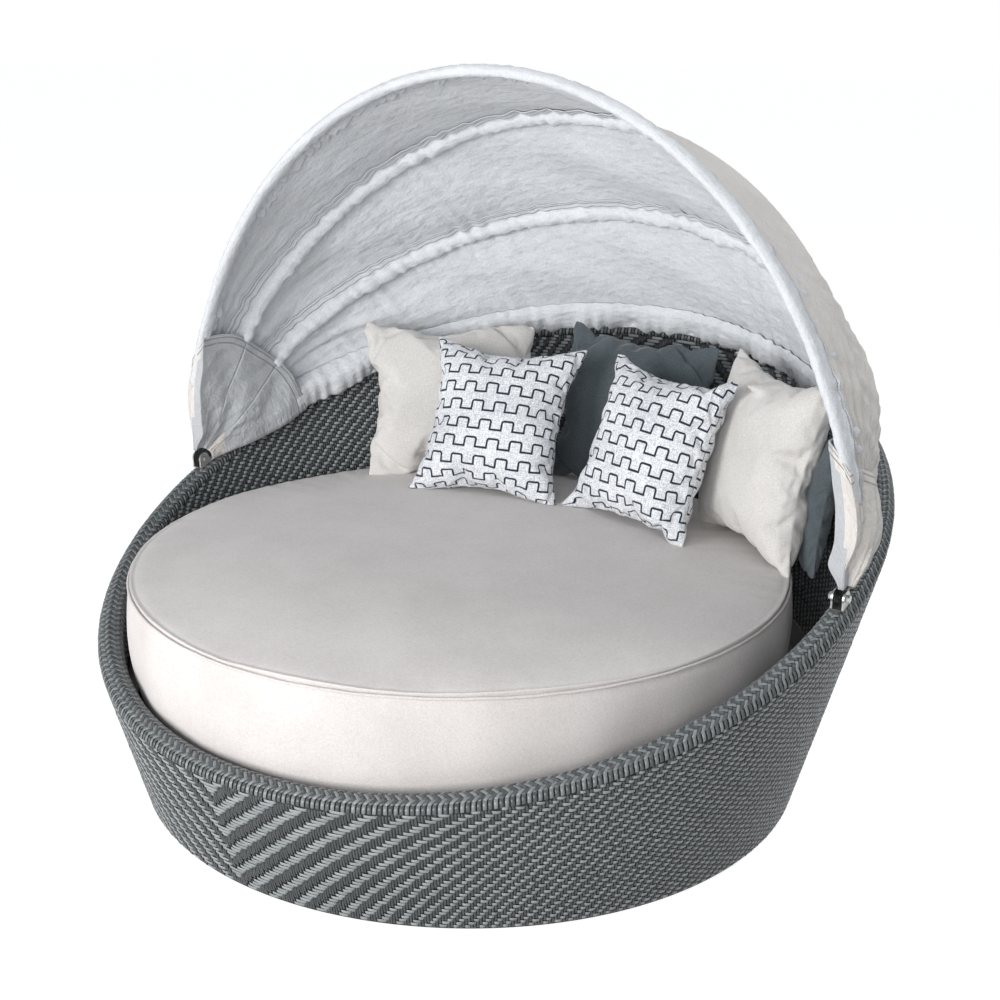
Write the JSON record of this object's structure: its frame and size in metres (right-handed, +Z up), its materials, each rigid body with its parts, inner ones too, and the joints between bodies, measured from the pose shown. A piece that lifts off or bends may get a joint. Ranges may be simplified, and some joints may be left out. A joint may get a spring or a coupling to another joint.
{
  "type": "outdoor daybed with canopy",
  "caption": "Round woven outdoor daybed with a thick mattress, loose pillows and a folding fabric canopy on pivoting bows",
  "frame": {"origin": "On the floor, at the middle of the centre foot's underside, below the centre of the round tub.", "axes": "+X to the right of a person who faces the open front, +Y from the open front to the tall back, +Z up."},
  "size_m": [1.892, 1.9033, 1.6537],
  "materials": {
    "woven_strap": "flat synthetic strap, graphite grey, slightly glossy",
    "frame_tube": "dark powder coat",
    "deck_bars": "grey powder coat",
    "bracket_steel": "brushed",
    "canopy_cloth": "light grey woven acrylic cloth",
    "mattress_cloth": "light stone canvas with a welt",
    "beige_cloth": "light beige canvas",
    "grey_cloth": "blue-grey canvas",
    "pattern_cloth": "pale heather cloth with dark rounded meander lines",
    "foot_rubber": "matt"
  },
  "bodies": {
    "tub": {"bow_rear": "frame_tube", "canopy_bracket_left": "bracket_steel", "canopy_bracket_right": "bracket_steel", "canopy_hem_rear": "canopy_cloth", "canopy_panel_rear": "canopy_cloth", "canopy_pocket_left": "canopy_cloth", "canopy_pocket_right": "canopy_cloth", "canopy_tie_1": "canopy_cloth", "canopy_tie_2": "canopy_cloth", "centre_foot": "foot_rubber", "deck_centre_leg": "frame_tube", "deck_crossbeam": "deck_bars", "deck_ring": "frame_tube", "deck_slat_1": "deck_bars", "deck_slat_2": "deck_bars", "deck_slat_3": "deck_bars", "deck_slat_4": "deck_bars", "deck_slat_5": "deck_bars", "deck_slat_6": "deck_bars", "deck_slat_7": "deck_bars", "floor_glide_1": "foot_rubber", "floor_glide_2": "foot_rubber", "floor_glide_3": "foot_rubber", "floor_glide_4": "foot_rubber", "floor_glide_5": "foot_rubber", "floor_glide_6": "foot_rubber", "frame_base_rail": "frame_tube", "frame_rim_tube": "frame_tube", "frame_upright_1": "frame_tube", "frame_upright_2": "frame_tube", "frame_upright_3": "frame_tube", "frame_upright_4": "frame_tube", "frame_upright_5": "frame_tube", "frame_upright_6": "frame_tube", "frame_upright_7": "frame_tube", "frame_upright_8": "frame_tube", "inner_weave": "woven_strap", "mattress": "mattress_cloth", "outer_weave": "woven_strap", "pillow_beige_left": "beige_cloth", "pillow_beige_right": "beige_cloth", "pillow_grey_back": "grey_cloth", "pillow_grey_side": "grey_cloth", "pillow_patterned_left": "pattern_cloth", "pillow_patterned_right": "pattern_cloth", "pivot_bolt_left": "bracket_steel", "pivot_bolt_right": "bracket_steel", "pivot_nut_left": "bracket_steel", "pivot_nut_right": "bracket_steel", "rim_braid": "woven_strap"},
    "third_bow": {"bow_third": "frame_tube", "canopy_sleeve_third": "canopy_cloth", "canopy_panel_middle": "canopy_cloth"},
    "second_bow": {"bow_second": "frame_tube", "canopy_sleeve_second": "canopy_cloth", "canopy_panel_front": "canopy_cloth"},
    "front_bow": {"bow_front": "frame_tube", "canopy_hem_front": "canopy_cloth"}
  },
  "joints": [
    {"name": "canopy_fold", "type": "hinge", "parent": "tub", "child": "third_bow", "pos_m": [0, 0.04042, 0.61375], "axis": [-1, 0, 0], "range_deg": [0, 17.7], "deforming": ["canopy_panel_rear", "canopy_sleeve_third", "canopy_pocket_right", "canopy_pocket_left", "canopy_hem_rear"]},
    {"name": "second_bow_fold", "type": "hinge", "parent": "third_bow", "child": "second_bow", "pos_m": [0, 0.04042, 0.61375], "axis": [-1, 0, 0], "range_deg": [0, 20], "deforming": ["canopy_panel_middle", "canopy_sleeve_second"]},
    {"name": "front_bow_fold", "type": "hinge", "parent": "second_bow", "child": "front_bow", "pos_m": [0, 0.04042, 0.61375], "axis": [-1, 0, 0], "range_deg": [0, 20.6], "deforming": ["canopy_panel_front", "canopy_hem_front"]}
  ],
  "couplings": [
    {"joint": "second_bow_fold", "follows": "canopy_fold", "ratio": 1.1299},
    {"joint": "front_bow_fold", "follows": "canopy_fold", "ratio": 1.1638}
  ]
}
